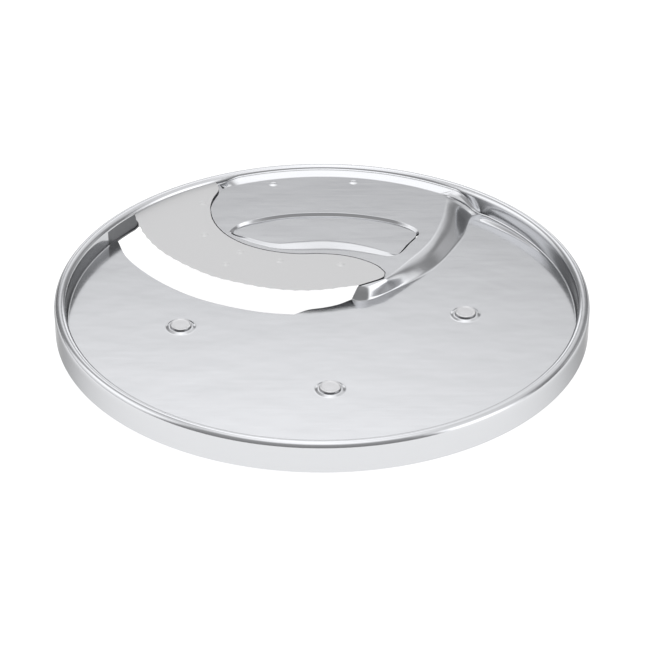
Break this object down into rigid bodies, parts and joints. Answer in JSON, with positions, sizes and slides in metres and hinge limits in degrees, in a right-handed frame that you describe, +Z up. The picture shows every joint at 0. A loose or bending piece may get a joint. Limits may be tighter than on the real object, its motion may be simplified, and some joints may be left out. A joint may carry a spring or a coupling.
{
  "type": "food processor slicing disc",
  "caption": "Round pressed steel slicing disc with a rolled rim, a welded serrated blade over a curved slot, and a riveted plastic hub carrier with a drive socket underneath.",
  "frame": {"origin": "on the disc's axis of rotation, in the plane of the hub's lower face, which it stands on", "axes": "+Z up along the axis of rotation, +Y towards the raised plateau, +X to its right seen from the front"},
  "size_m": [0.1904, 0.1904, 0.0232],
  "materials": {
    "sheet_steel": "pressed stainless sheet, bright rolled and tumbled, faint rolling lines",
    "blade_steel": "satin ground blade steel with a serrated edge",
    "fastener_steel": "plain stainless, lightly polished",
    "hub_plastic": "moulded white plastic, fine matte"
  },
  "bodies": {
    "root": {"disc_plate": "sheet_steel", "slicing_blade": "blade_steel", "hub_carrier": "hub_plastic", "socket_sleeve": "fastener_steel", "drive_pin_left": "fastener_steel", "drive_pin_right": "fastener_steel", "rivet_left": "fastener_steel", "rivet_front": "fastener_steel", "rivet_right": "fastener_steel", "rivet_washer_left": "fastener_steel", "rivet_washer_front": "fastener_steel", "rivet_washer_right": "fastener_steel"}
  },
  "joints": []
}
